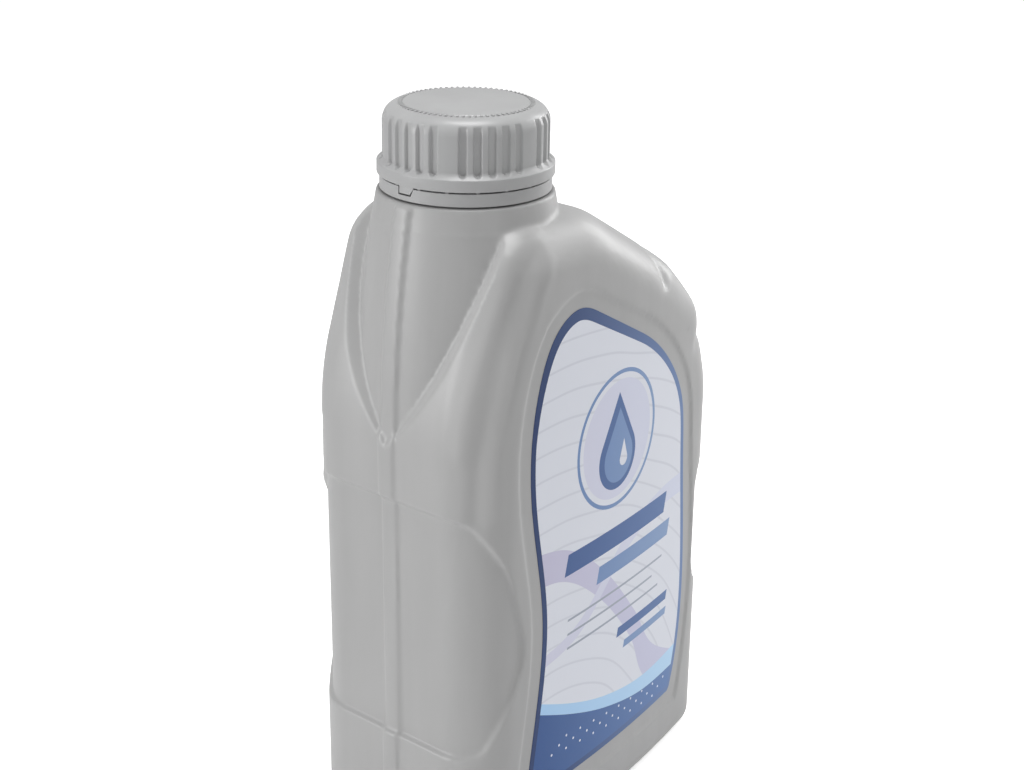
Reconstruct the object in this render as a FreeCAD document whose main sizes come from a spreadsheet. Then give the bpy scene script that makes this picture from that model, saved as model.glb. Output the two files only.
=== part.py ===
import FreeCAD, Part

import math
import os

# Motor oil bottle: a blow-moulded one litre bottle whose neck stands at one end, a ribbed screw cap
# with its tamper band, a sealing wad in the cap, one front label, and the oil inside.
# Millimetres, +Z up. The base stands on Z = 0 and the neck's axis is X = Y = 0.
# The front, with the label, faces -Y; the body runs from the neck end at -X to the far end at +X.

os.makedirs("parts", exist_ok=True)

document = FreeCAD.newDocument("oil_bottle")
sheet = document.addObject("Spreadsheet::Sheet", "Sizes")

SIZES = [
    ("neck_end", 30.9, "from the neck axis to the top of the wall at the neck end"),
    ("neck_end_foot", 29.4, "from the neck axis to the foot of that wall, which leans a little"),
    ("far_end", 92.5, "from the neck axis to the wall at the far end"),
    ("half_depth", 33.8, "from the middle plane to the deepest line of the front panel"),
    ("deepest_at", -22.9, "place along X of that deepest line"),
    ("panel_radius", 469.1, "bow of the front and back panels seen from above"),
    ("corner", 14.6, "rounding between the panels and the walls"),
    ("base_corner", 4.9, "rounding along the foot of the body"),
    ("wall", 1.4, "thickness of the blown wall"),
    ("crest_height", 184.9, "height of the body's crest beyond the neck"),
    ("crest_at", 21.4, "place of that crest from the neck axis"),
    ("crest_round", 29.2, "rounding of the outline at the crest"),
    ("flank_rise", 1.0, "how far the flank's upper corner beside the neck lies above the crest"),
    ("flank_top_at", -15.1, "place of that corner from the neck axis"),
    ("flank_top_round", 16.5, "rounding of the outline at that corner"),
    ("flank_drop", 46.7, "how far below the crest the flank leaves the end wall"),
    ("flank_foot_round", 77.9, "rounding of the outline at that place"),
    ("shoulder_drop", 22.9, "how far below the crest the shoulder begins to turn down"),
    ("shoulder_back", 30.2, "place of that turn from the far end"),
    ("shoulder_round", 58.4, "rounding of the outline at that turn"),
    ("brow_drop", 38.9, "how far below the crest the steeper turn beyond it lies"),
    ("brow_back", 10.7, "place of that turn from the far end"),
    ("brow_round", 24.3, "rounding of the outline there"),
    ("far_wall_drop", 66.2, "how far below the crest the far wall becomes upright"),
    ("far_wall_round", 38.9, "rounding of the outline there"),
    ("well_drop", 61.3, "how far below the crest the two flanks meet on the end wall"),
    ("well_lean", 0.57, "how far the flanks lean back for each millimetre of height"),
    ("well_flare", 0.61, "how far the flanks open out for each millimetre from the middle"),
    ("seat_rise", 5.1, "how far the neck's shoulder under the tamper band lies above the crest"),
    ("seat_radius", 23.7, "radius of that shoulder"),
    ("swell_radius", 29.7, "radius of the neck where it has sunk into the body"),
    ("swell_drop", 64.5, "how far that place lies below the neck's shoulder"),
    ("rib_width", 5.0, "width of the flat rib along the mould's parting line"),
    ("rib_rise", 0.8, "how far the rib stands out"),
    ("grip_depth", 1.3, "depth of the grips at the two ends"),
    ("grip_drop", 74.4, "how far below the crest the near grip's top lies at the end wall"),
    ("grip_bottom", 37.5, "height of the near grip's foot at the end wall"),
    ("grip_reach", 10.9, "how far the near grip comes short of the neck axis"),
    ("grip_ease", 1.0, "how far the near grip's upper and lower edges slope towards the end wall"),
    ("grip_foot_run", 14.6, "how far the grip's lower corner stands back from its deepest reach"),
    ("grip_foot_round", 6.0, "rounding of the near grip's upper and lower corners"),
    ("grip_waist", 16.0, "rounding of the near grip where it reaches furthest"),
    ("grip_waist_at", 0.41, "height of that place as a share of the grip's height"),
    ("grip_brow_run", 7.8, "how far the grip's upper bend stands back from its deepest reach"),
    ("grip_brow_at", 0.78, "height of that bend as a share of the grip's height"),
    ("grip_brow", 30.0, "rounding of that bend"),
    ("grip_top_run", 17.3, "how far the grip's upper corner stands back from its deepest reach"),
    ("far_grip_drop", 93.4, "how far below the crest the far grip's top lies"),
    ("far_grip_bottom", 50.6, "height of the far grip's foot"),
    ("far_grip_run", 10.7, "how far the far grip reaches in from the far end"),
    ("far_grip_slope", 3.0, "how far its upper and lower edges open out"),
    ("far_grip_round", 9.0, "rounding of its corners"),
    ("panel_depth", 0.6, "depth of the recess that holds the label"),
    ("panel_margin", 5.4, "bare edge between the label and its recess"),
    ("push_up", 2.9, "rise of the base inside its standing ring"),
    ("ring_width", 10.7, "width of the standing ring"),
    ("ring_round", 4.2, "rounding of the corners inside the standing ring"),
    ("finish_radius", 18.9, "outer radius of the neck under the cap"),
    ("finish_wall", 2.1, "wall of the neck under the cap"),
    ("finish_height", 21.8, "height of the neck's lip above its shoulder"),
    ("bead_lift", 5.8, "height above the shoulder of the bead that holds the tamper band down"),
    ("bead_rise", 1.3, "how far that bead stands out"),
    ("slit_lift", 4.1, "height above the shoulder of the slit between cap and tamper band"),
    ("slit", 0.5, "width of that slit"),
    ("band_radius", 22.9, "outer radius of the tamper band"),
    ("band_wall", 2.1, "thickness of the tamper band"),
    ("band_gap", 0.5, "gap between the tamper band and the neck's shoulder"),
    ("catch_height", 1.2, "height of the catch inside the tamper band"),
    ("catch_gap", 0.35, "gap between that catch and the neck"),
    ("bridges", 18, "thin bridges across the slit"),
    ("bridge_width", 0.9, "width of a bridge"),
    ("bridge_depth", 0.8, "depth of a bridge towards the axis"),
    ("tab_depth", 1.7, "how far the cap's tab reaches into the tamper band"),
    ("tab_width", 4.9, "width of the tab at the slit"),
    ("tab_gap", 0.35, "gap between the tab and its notch"),
    ("cap_radius", 22.1, "outer radius of the cap's skirt"),
    ("cap_play", 1.7, "gap between the cap's wall and the neck, filled by the screw thread"),
    ("cap_roof", 1.7, "thickness of the cap's top above the sealing wad"),
    ("cap_crown", 5.8, "rounding of the cap's upper edge"),
    ("disc_radius", 16.6, "radius of the raised disc on the cap"),
    ("disc_rise", 0.35, "rise of that disc"),
    ("flange_radius", 23.6, "radius of the cap's lower flange"),
    ("flange_height", 3.1, "height of that flange"),
    ("flange_slope", 1.6, "height of the slope above it"),
    ("slot_width", 2.1, "width of a grip slot in the cap"),
    ("slot_depth", 0.9, "depth of a grip slot"),
    ("slot_head", 0.3, "plain strip between the slots and the cap's rounded edge"),
    ("slot_start", 6.8, "height of the slots' rounded ends above the slit"),
    ("slot_groups", 6, "groups of grip slots"),
    ("slots_in_group", 5, "slots in a group"),
    ("slot_pitch", 10.0, "angle between slots, in degrees"),
    ("wad_thickness", 1.0, "thickness of the sealing wad"),
    ("wad_gap", 0.6, "gap between the sealing wad and the cap's wall"),
    ("label_thickness", 0.15, "thickness of the label"),
    ("label_gap", 0.1, "glue between the label and the floor of its recess"),
    ("label_foot", 19.0, "height of the label's lower edge"),
    ("label_drop", 24.1, "how far the label's top lies below the crest"),
    ("label_near", 21.2, "from the wall at the neck end to the label's nearer edge"),
    ("label_far", 17.6, "from the label's further edge to the far end"),
    ("oil_drop", 18.9, "how far the oil's surface lies below the crest"),
    ("oil_gap", 0.3, "gap between the oil's solid and the wall"),
]
for row, (alias, value, meaning) in enumerate(SIZES, start=1):
    sheet.set("A%d" % row, alias)
    sheet.set("B%d" % row, str(value))
    sheet.set("C%d" % row, meaning)
    sheet.setAlias("B%d" % row, alias)
document.recompute()


def size(alias):
    """One driving dimension, read back from the sheet."""
    return float(sheet.get(alias))


UP = FreeCAD.Vector(0, 0, 1)
ALONG_Y = FreeCAD.Vector(0, 1, 0)
REACH = 4 * size("far_end")
CREST = size("crest_height")
SEAT = CREST + size("seat_rise")
LIP = SEAT + size("finish_height")
SLIT = SEAT + size("slit_lift")
CAP_LOW = SLIT + size("slit") / 2
CAP_INSIDE = LIP + size("wad_thickness")
CAP_TOP = CAP_INSIDE + size("cap_roof")
CAP_BORE = size("finish_radius") + size("cap_play")
SLOT_END_SIDES = 4

# The label's outline from its lower near corner round to its lower far corner, as shares of
# its width and its height.
LABEL_POINTS = [
    (0.000, 0.000), (0.022, 0.092), (0.073, 0.388), (0.005, 0.635), (0.034, 0.882),
    (0.137, 0.981), (0.223, 1.000), (0.402, 0.955), (0.644, 0.880), (0.845, 0.779),
    (0.937, 0.683), (0.961, 0.580), (1.000, 0.346), (0.961, 0.044), (0.931, 0.000),
]


def rounded_outline(corners):
    """A closed wire in the XZ plane: straight runs joined by tangent arcs.

    Each corner is (x, z, radius); a radius of zero keeps the corner sharp.
    """
    points = [FreeCAD.Vector(x, 0, z) for x, z, radius in corners]
    count = len(corners)
    entries = []
    for index, (x, z, radius) in enumerate(corners):
        here = points[index]
        before = (points[index - 1] - here).normalize()
        after = (points[(index + 1) % count] - here).normalize()
        if radius <= 0:
            entries.append((here, None, here))
            continue
        half = before.getAngle(after) / 2
        run = radius / math.tan(half)
        middle = (before + after).normalize()
        centre = here + middle * (radius / math.sin(half))
        entries.append((here + before * run, centre - middle * radius, here + after * run))
    edges = []
    for index, (start, through, end) in enumerate(entries):
        if through is not None:
            edges.append(Part.Arc(start, through, end).toShape())
        following = entries[(index + 1) % count][0]
        if end.distanceToPoint(following) > 1e-6:
            edges.append(Part.LineSegment(end, following).toShape())
    return Part.Wire(edges)


def prism_along_y(wire, low=-REACH, high=REACH):
    """The outline carried from one Y to another."""
    face = Part.Face(wire)
    face.translate(ALONG_Y * low)
    return face.extrude(ALONG_Y * (high - low))


def front_outline(inset):
    """The body seen from the front, each side moved inwards by the inset."""
    named = [
        (-size("neck_end_foot"), 0.0, 0.0),
        (-size("neck_end"), CREST - size("flank_drop"), size("flank_foot_round")),
        (size("flank_top_at"), CREST + size("flank_rise"), size("flank_top_round")),
        (size("crest_at"), CREST, size("crest_round")),
        (size("far_end") - size("shoulder_back"), CREST - size("shoulder_drop"), size("shoulder_round")),
        (size("far_end") - size("brow_back"), CREST - size("brow_drop"), size("brow_round")),
        (size("far_end"), CREST - size("far_wall_drop"), size("far_wall_round")),
        (size("far_end"), 0.0, 0.0),
    ]
    moved = []
    for index, (x, z, radius) in enumerate(named):
        here = FreeCAD.Vector(x, 0, z)
        before = FreeCAD.Vector(named[index - 1][0], 0, named[index - 1][1])
        after_row = named[(index + 1) % len(named)]
        after = FreeCAD.Vector(after_row[0], 0, after_row[1])
        arriving = (here - before).normalize()
        leaving = (after - here).normalize()
        inward_first = FreeCAD.Vector(arriving.z, 0, -arriving.x)
        inward_second = FreeCAD.Vector(leaving.z, 0, -leaving.x)
        middle = (inward_first + inward_second).normalize()
        shift = inset / middle.dot(inward_first)
        moved.append((x + middle.x * shift, z + middle.z * shift, max(radius - inset, 0) if radius else 0))
    return rounded_outline(moved)


def between_panels(inset):
    """The space between the bowed front and back panels, each moved inwards by the inset."""
    radius = size("panel_radius") - inset
    offset = size("panel_radius") - size("half_depth")
    start = FreeCAD.Vector(size("deepest_at"), offset, -REACH)
    front = Part.makeCylinder(radius, 2 * REACH, start, UP)
    back = Part.makeCylinder(radius, 2 * REACH, FreeCAD.Vector(start.x, -offset, start.z), UP)
    return front.common(back)


def edges_where(shape, test):
    """The edges of a shape whose points all pass a test."""
    chosen = []
    for edge in shape.Edges:
        points = edge.discretize(7)
        if all(test(point) for point in points):
            chosen.append(edge)
    return chosen


def body_block(inset, round_foot=True):
    """The body without its neck: outline and panels, with its edges rounded."""
    sharp = prism_along_y(front_outline(inset)).common(between_panels(inset))
    foot = inset + 0.01

    def on_rim(point):
        radius = size("panel_radius") - inset
        offset = size("panel_radius") - size("half_depth")
        reach = math.hypot(point.x - size("deepest_at"), abs(point.y) + offset)
        return abs(reach - radius) < 0.01

    rim = edges_where(sharp, on_rim)
    rim = [edge for edge in rim if max(vertex.Z for vertex in edge.Vertexes) > foot]
    softened = sharp.makeFillet(size("corner") - inset, rim)
    if not round_foot:
        return softened
    base = edges_where(softened, lambda point: abs(point.z - inset) < 0.01)
    return softened.makeFillet(size("base_corner") - inset, base)


def neck_barrel(inset):
    """The round neck below the tamper band, which sinks into the body as it swells."""
    top = SEAT - inset
    top_radius = size("seat_radius") - inset
    low = SEAT - size("swell_drop")
    low_radius = size("swell_radius") - inset
    drop = top - low
    swell = (drop ** 2 + (low_radius - top_radius) ** 2) / (2 * (low_radius - top_radius))
    middle_height = low + drop / 2
    middle_radius = low_radius - swell + math.sqrt(swell ** 2 - (drop / 2) ** 2)
    start = FreeCAD.Vector(top_radius, 0, top)
    middle = FreeCAD.Vector(middle_radius, 0, middle_height)
    end = FreeCAD.Vector(low_radius, 0, low)
    edges = [
        Part.Arc(start, middle, end).toShape(),
        Part.LineSegment(end, FreeCAD.Vector(0, 0, low)).toShape(),
        Part.LineSegment(FreeCAD.Vector(0, 0, low), FreeCAD.Vector(0, 0, top)).toShape(),
        Part.LineSegment(FreeCAD.Vector(0, 0, top), start).toShape(),
    ]
    return Part.Face(Part.Wire(edges)).revolve(FreeCAD.Vector(), UP, 360)


def neck_well(inset):
    """What is taken from the body round the neck, so that two flared flanks stand beside it."""
    tip = CREST - size("well_drop")
    rise = REACH / 4
    lean = FreeCAD.Vector(size("well_lean") * rise, 0, rise)
    middle = -size("neck_end") + inset * 1.5
    well = None
    for side in (-1, 1):
        points = [
            FreeCAD.Vector(middle, 0, tip),
            FreeCAD.Vector(middle - size("well_flare") * REACH, side * REACH, tip),
            FreeCAD.Vector(-2 * REACH, side * REACH, tip),
            FreeCAD.Vector(-2 * REACH, 0, tip),
        ]
        half = Part.Face(Part.makePolygon(points + points[:1])).extrude(lean)
        well = half if well is None else well.fuse(half)
    return well


def grip_outline():
    """The D shape of the grip at the neck end, seen from the front."""
    outside = -size("neck_end") - size("corner")
    top = CREST - size("grip_drop")
    foot = size("grip_bottom")
    reach = -size("grip_reach")
    ease = size("grip_ease")
    span = top - foot
    corner = size("grip_foot_round")
    return rounded_outline([
        (outside, top + ease, 0),
        (outside, foot - ease, 0),
        (reach - size("grip_foot_run"), foot + ease / 2, corner),
        (reach, foot + size("grip_waist_at") * span, size("grip_waist")),
        (reach - size("grip_brow_run"), foot + size("grip_brow_at") * span, size("grip_brow")),
        (reach - size("grip_top_run"), top - ease, corner),
    ])


def far_grip_outline():
    """The smaller grip at the far end."""
    outside = size("far_end") + size("corner")
    top = CREST - size("far_grip_drop")
    foot = size("far_grip_bottom")
    reach = size("far_end") - size("far_grip_run")
    slope = size("far_grip_slope")
    corner = size("far_grip_round")
    return rounded_outline([
        (outside, foot - slope, 0),
        (outside, top + slope, 0),
        (reach, top, corner),
        (reach, foot, corner),
    ])


def label_outline(margin):
    """The label's outline seen from the front, widened by a margin."""
    near = -size("neck_end") + size("label_near")
    width = size("far_end") - size("label_far") - near
    foot = size("label_foot")
    height = CREST - size("label_drop") - foot
    points = [FreeCAD.Vector(near + x * width, 0, foot + z * height) for x, z in LABEL_POINTS]
    widened = []
    for index, point in enumerate(points):
        before = points[max(index - 1, 0)]
        after = points[min(index + 1, len(points) - 1)]
        along = (after - before).normalize()
        widened.append(point + FreeCAD.Vector(-along.z, 0, along.x) * margin)
    widened[0].z = widened[-1].z = foot - margin
    curve = Part.BSplineCurve()
    curve.interpolate(widened)
    closing = Part.LineSegment(widened[-1], widened[0])
    return Part.Wire([curve.toShape(), closing.toShape()])


def push_up_block(inset):
    """The rise in the base, as a block to take away from the body."""
    below = 1.0
    rise = size("push_up") + inset
    outline = rounded_outline_flat(size("ring_width") - inset, -below)
    return Part.Face(outline).extrude(UP * (rise + below))


def rounded_outline_flat(margin, height):
    """A rounded wedge in a level plane, set in from the body's plan by a margin."""
    near = -size("neck_end") + margin
    far = size("far_end") - margin
    near_half = size("half_depth") - margin
    span = size("far_end") - size("deepest_at")
    far_half = size("half_depth") - span ** 2 / (2 * size("panel_radius")) - margin
    corner = size("ring_round")
    wire = rounded_outline([
        (near, -near_half, corner),
        (far, -far_half, corner),
        (far, far_half, corner),
        (near, near_half, corner),
    ])
    wire.rotate(FreeCAD.Vector(), FreeCAD.Vector(1, 0, 0), 90)
    wire.translate(UP * height)
    return wire


def bottle_form(inset, round_foot=True):
    """The bottle below its neck finish as one solid, moved inwards by an inset."""
    block = body_block(inset, round_foot).cut(neck_well(inset))
    barrel = neck_barrel(inset)
    form = block.fuse(barrel)
    deeper = body_block(inset + size("grip_depth"), round_foot)
    for outline in (grip_outline(), far_grip_outline()):
        region = prism_along_y(outline)
        form = form.cut(region.cut(deeper))
    pan = prism_along_y(label_outline(size("panel_margin")))
    floor = between_panels(inset + size("panel_depth"))
    form = form.cut(pan.cut(floor))
    return form.cut(push_up_block(inset)) if round_foot else form


def parting_rib():
    """The flat rib that the mould's parting line leaves down the neck end."""
    width = size("rib_width")
    high = SEAT - size("rib_rise")
    strip = Part.makeBox(REACH, width, high, FreeCAD.Vector(-REACH, -width / 2, 0))
    return bottle_form(-size("rib_rise")).common(strip)


def ring_solid(outer, inner, low, high):
    """A plain ring about the neck's axis."""
    start = FreeCAD.Vector(0, 0, low)
    solid = Part.makeCylinder(outer, high - low, start, UP)
    return solid.cut(Part.makeCylinder(inner, high - low, start, UP))


def bottle_shape():
    """The blown bottle: outer form, rib and neck finish, less the cavity and the bore."""
    outer = bottle_form(0.0).fuse(parting_rib())
    radius = size("finish_radius")
    root = SEAT - size("wall")
    finish = Part.makeCylinder(radius, LIP - root, FreeCAD.Vector(0, 0, root), UP)
    rise = size("bead_rise")
    bead = Part.makeCone(radius + rise, radius, rise * 2, FreeCAD.Vector(0, 0, SEAT + size("bead_lift")), UP)
    outer = outer.fuse(finish).fuse(bead)
    cavity = bottle_form(size("wall"))
    bore_foot = CREST - size("well_drop") / 2
    bore = Part.makeCylinder(radius - size("finish_wall"), LIP - bore_foot, FreeCAD.Vector(0, 0, bore_foot), UP)
    hollow = outer.cut(cavity.fuse(bore))
    return hollow.removeSplitter()


def add_feature(name, shape):
    """Put a finished shape into the document as a sub-part."""
    feature = document.addObject("Part::Feature", name)
    feature.Label = name
    feature.Shape = shape
    feature.Placement = FreeCAD.Placement()
    return feature


def cap_profile():
    """Half section of the cap's outside and inside."""
    flange = size("flange_radius")
    skirt = size("cap_radius")
    slope_low = CAP_LOW + size("flange_height")
    slope_high = slope_low + size("flange_slope")
    crown = size("cap_crown")
    disc = size("disc_radius")
    rim = CAP_TOP - size("disc_rise")
    half_turn = math.sqrt(0.5)

    def at(radius, height):
        return FreeCAD.Vector(radius, 0, height)

    crown_start = at(skirt, rim - crown)
    crown_middle = at(skirt - crown * (1 - half_turn), rim - crown * (1 - half_turn))
    crown_end = at(skirt - crown, rim)
    below = [at(CAP_BORE, CAP_LOW), at(flange, CAP_LOW), at(flange, slope_low), at(skirt, slope_high),
             crown_start]
    above = [crown_end, at(disc, CAP_TOP), at(0, CAP_TOP), at(0, CAP_INSIDE), at(CAP_BORE, CAP_INSIDE),
             at(CAP_BORE, CAP_LOW)]
    edges = [Part.LineSegment(a, b).toShape() for a, b in zip(below, below[1:])]
    edges.append(Part.Arc(crown_start, crown_middle, crown_end).toShape())
    edges += [Part.LineSegment(a, b).toShape() for a, b in zip(above, above[1:])]
    return Part.Wire(edges)


def cap_shape():
    """The screw cap: a turned shell with groups of grip slots and one tab below its edge."""
    shell = Part.Face(cap_profile()).revolve(FreeCAD.Vector(), UP, 360)
    low = CAP_LOW + size("slot_start")
    high = CAP_TOP - size("disc_rise") - size("cap_crown") - size("slot_head")
    half = size("slot_width") / 2
    floor = size("cap_radius") - size("slot_depth")
    groups = int(size("slot_groups"))
    slots = int(size("slots_in_group"))
    turns = [math.radians(180 + step * 180 / SLOT_END_SIDES) for step in range(SLOT_END_SIDES + 1)]
    outline = [FreeCAD.Vector(floor, half * math.cos(turn), low + half * math.sin(turn)) for turn in turns]
    outline += [FreeCAD.Vector(floor, half, high), FreeCAD.Vector(floor, -half, high)]
    blade = Part.Face(Part.makePolygon(outline + outline[:1])).extrude(FreeCAD.Vector(REACH, 0, 0))
    cutters = []
    for group in range(groups):
        for index in range(slots):
            angle = group * 360.0 / groups + (index - (slots - 1) / 2) * size("slot_pitch")
            cutter = blade.copy()
            cutter.rotate(FreeCAD.Vector(), UP, angle)
            cutters.append(cutter)
    return shell.cut(cutters).fuse(tab_block(0.0)).removeSplitter()


def tab_block(clearance):
    """The tab that turns the tamper band, or with a clearance the notch that it sits in."""
    half = size("tab_width") / 2
    depth = size("tab_depth") + size("slit") + clearance
    slant = size("tab_depth") * math.sqrt(0.5)
    inner = size("band_radius") - size("band_wall") + size("tab_gap") - clearance
    outer = size("band_radius") + clearance
    points = [
        FreeCAD.Vector(inner, half + clearance, CAP_LOW),
        FreeCAD.Vector(inner, half + clearance, CAP_LOW - depth),
        FreeCAD.Vector(inner, -half + slant - clearance, CAP_LOW - depth),
        FreeCAD.Vector(inner, -half - clearance, CAP_LOW),
    ]
    face = Part.Face(Part.makePolygon(points + points[:1]))
    block = face.extrude(FreeCAD.Vector(outer, 0, 0))
    block = block.common(Part.makeCylinder(outer, REACH))
    block.rotate(FreeCAD.Vector(), UP, 180)
    return block


def band_shape():
    """The tamper band: a ring with a notch for the tab, an inner catch and bridges above."""
    low = SEAT + size("band_gap")
    high = SLIT - size("slit") / 2
    outer = size("band_radius")
    inner = outer - size("band_wall")
    band = ring_solid(outer, inner, low, high)
    catch = ring_solid((outer + inner) / 2, size("finish_radius") + size("catch_gap"), low,
                       low + size("catch_height"))
    band = band.fuse(catch)
    count = int(size("bridges"))
    width = size("bridge_width")
    depth = size("bridge_depth")
    for index in range(count):
        corner = FreeCAD.Vector(outer - 1.5 * depth, -width / 2, high)
        bridge = Part.makeBox(depth, width, size("slit"), corner, UP)
        bridge.rotate(FreeCAD.Vector(), UP, (index + 0.5) * 360.0 / count)
        band = band.fuse(bridge)
    notch = tab_block(size("tab_gap"))
    return band.cut(notch).removeSplitter()


def label_shape():
    """The front label: a thin film just clear of the floor of its recess."""
    lowest = size("panel_depth") - size("label_gap")
    film = between_panels(lowest - size("label_thickness")).cut(between_panels(lowest))
    return film.common(prism_along_y(label_outline(0.0), -REACH, 0.0))


def oil_shape():
    """The oil: the inner form a little smaller, from just above the base to the fill level."""
    form = bottle_form(size("wall") + size("oil_gap"), round_foot=False)
    low = max(size("push_up") + size("wall"), size("base_corner")) + size("oil_gap")
    high = CREST - size("oil_drop")
    return form.common(Part.makeBox(REACH, REACH, high - low, FreeCAD.Vector(-REACH / 2, -REACH / 2, low)))


wad = document.addObject("Part::Cylinder", "cap_liner")
wad.Label = "cap_liner"
wad.setExpression("Radius", "Sizes.finish_radius + Sizes.cap_play - Sizes.wad_gap")
wad.setExpression("Height", "Sizes.wad_thickness")
wad.setExpression("Placement.Base.z", "Sizes.crest_height + Sizes.seat_rise + Sizes.finish_height")

parts = [
    add_feature("bottle", bottle_shape()),
    add_feature("cap", cap_shape()),
    add_feature("tamper_band", band_shape()),
    add_feature("front_label", label_shape()),
    add_feature("oil", oil_shape()),
    wad,
]
document.recompute()

for thing in document.Objects:
    if "Invalid" in thing.State or "Error" in thing.State:
        raise RuntimeError("%s failed to build" % thing.Name)
for thing in parts:
    if thing.Shape.isNull() or not thing.Shape.isValid():
        raise RuntimeError("%s has no valid shape" % thing.Name)
for thing in parts:
    thing.Shape.exportStep("parts/%s.step" % thing.Label)
    print(thing.Label, len(thing.Shape.Solids), round(thing.Shape.Volume / 1000, 2), "cm3",
          thing.Shape.BoundBox)
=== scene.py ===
import math

import bmesh
import bpy
import numpy as np
from mathutils import Matrix, Vector
from mathutils.geometry import delaunay_2d_cdt


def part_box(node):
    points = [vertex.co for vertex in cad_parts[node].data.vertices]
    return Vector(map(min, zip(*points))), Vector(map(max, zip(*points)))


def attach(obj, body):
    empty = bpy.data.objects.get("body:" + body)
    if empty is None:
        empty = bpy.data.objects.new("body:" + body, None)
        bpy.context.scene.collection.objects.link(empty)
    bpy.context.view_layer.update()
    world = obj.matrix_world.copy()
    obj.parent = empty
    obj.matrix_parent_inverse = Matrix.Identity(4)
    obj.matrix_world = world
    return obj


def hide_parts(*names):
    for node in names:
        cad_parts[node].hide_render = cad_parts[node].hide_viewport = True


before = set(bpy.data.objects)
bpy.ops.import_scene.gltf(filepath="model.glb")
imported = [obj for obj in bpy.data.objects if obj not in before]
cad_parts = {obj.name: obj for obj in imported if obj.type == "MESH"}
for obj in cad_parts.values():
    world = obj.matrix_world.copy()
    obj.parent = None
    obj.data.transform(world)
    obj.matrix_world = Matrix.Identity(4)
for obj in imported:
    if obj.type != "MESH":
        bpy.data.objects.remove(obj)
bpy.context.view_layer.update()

scene = bpy.context.scene
scene.view_settings.view_transform = "Standard"

# Places in metres, read from the frame where they belong to a CAD node. SLIT is the middle of
# the slit between the cap and its tamper band; the band's bridges end a little above it.
MM = 0.001
BRIDGE_RISE = 0.25 * MM
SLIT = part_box("tamper_band")[1].z - BRIDGE_RISE
SOLID_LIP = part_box("bottle")[1].z
LABEL_LOW, LABEL_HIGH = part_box("front_label")

# Vertices closer than this are one, and faces this close to a level lie on it.
WELD = 0.001 * MM
LEVEL = 0.01 * MM

# The camera of the photograph: its place from the middle of the slit, and its three angles.
CAMERA_PLACE = Vector((-371.2, -336.7, 128.9)) * MM
CAMERA_TURN = 0.8602
CAMERA_PITCH = 0.3608
CAMERA_ROLL = 0.0161
FOCAL_PIXELS = 1947.0
FRAME_WIDTH = 1024.0
SENSOR = 36.0

# The white surroundings: how strongly they light the bottle, and the floor's own glow and size.
WORLD_LIGHT = 0.40
FLOOR_GREY = 0.85
FLOOR_GLOW = 0.62
FLOOR_HALF = 4.0

# Soft boxes of light, all aimed at one point: name, place, width, height and power. They stand
# behind the bottle on each side of the view, low in front of it, and overhead.
LIGHTS_AIM = (0.02, 0.0, 0.14)
LIGHTS = [
    ("left_box", (-0.95, 0.50, 0.28), 0.35, 0.55, 5.0),
    ("right_box", (1.0, -0.12, 0.45), 0.32, 0.7, 4.5),
    ("front_box", (-0.25, -1.1, 0.2), 0.2, 0.5, 0.9),
    ("top_box", (0.0, -0.05, 1.05), 0.4, 0.4, 6.0),
]

# How finely the blown shell is rebuilt, how soft its edges become, and how far the cavity's
# mouth is drawn up through the lip.
SHELL_VOXEL = 0.62 * MM
SHELL_SMOOTHING = 4
SHELL_FACES = 130000
MOUTH_RISE = 5.0 * MM

# Soft forms of the mould, as chains of points in millimetres on the front half.
FLUTE = [(-6.5, -31.5, 181.0), (-10.5, -31.0, 175.9), (-12.9, -31.1, 171.2), (-17.3, -30.5, 161.4),
         (-21.1, -30.2, 151.5), (-24.6, -30.1, 138.8), (-26.8, -29.2, 125.3), (-27.2, -28.8, 110.0)]
FLUTE_BANK = [(-2.0, -33.6, 178.0), (-6.4, -33.3, 171.5), (-10.1, -33.3, 162.9),
              (-14.7, -33.1, 153.2), (-18.3, -33.0, 143.2), (-21.2, -32.7, 132.9),
              (-22.3, -32.4, 124.8), (-22.5, -32.2, 112.0)]
FLANK_LIP = [(-14.4, -27.5, 179.0), (-16.3, -28.3, 171.3), (-20.5, -27.2, 161.4),
             (-23.6, -26.7, 152.0), (-27.2, -26.0, 141.3), (-29.2, -25.0, 128.0)]
SHOULDER_NOTCH = [(56.0, -27.0, 157.0), (55.5, -24.0, 161.0), (55.0, -20.0, 163.5)]
SHOULDER_LOBE = [(63.5, -21.5, 156.5), (70.0, -21.0, 150.0), (75.5, -21.0, 142.5)]
BROW_NOTCH = [(78.5, -24.0, 131.5), (82.0, -21.0, 134.0), (84.0, -17.0, 135.0)]

# Each form's height in millimetres, negative for a hollow, its half width and its chain.
MOULD_LINES = [
    (-0.85, 2.6, FLUTE),
    (0.30, 2.2, FLUTE_BANK),
    (0.35, 2.2, FLANK_LIP),
    (-1.0, 2.6, SHOULDER_NOTCH),
    (0.7, 5.0, SHOULDER_LOBE),
    (-0.8, 3.0, BROW_NOTCH),
]

# Fine raised lines on the neck, in millimetres: their levels, height and half width, and how
# far from the neck's axis they run.
NECK_LINES = (183.3, 151.2)
NECK_LINE_HEIGHT = 0.09
NECK_LINE_WIDTH = 0.7
NECK_REACH = 27.5

# The neck's lip, which the photograph shows a little lower than the solids have it. The neck is
# squeezed down to it from the foot of its finish.
LIP = SLIT + 16.2 * MM
FINISH_FOOT = SLIT + 3.0 * MM

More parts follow.
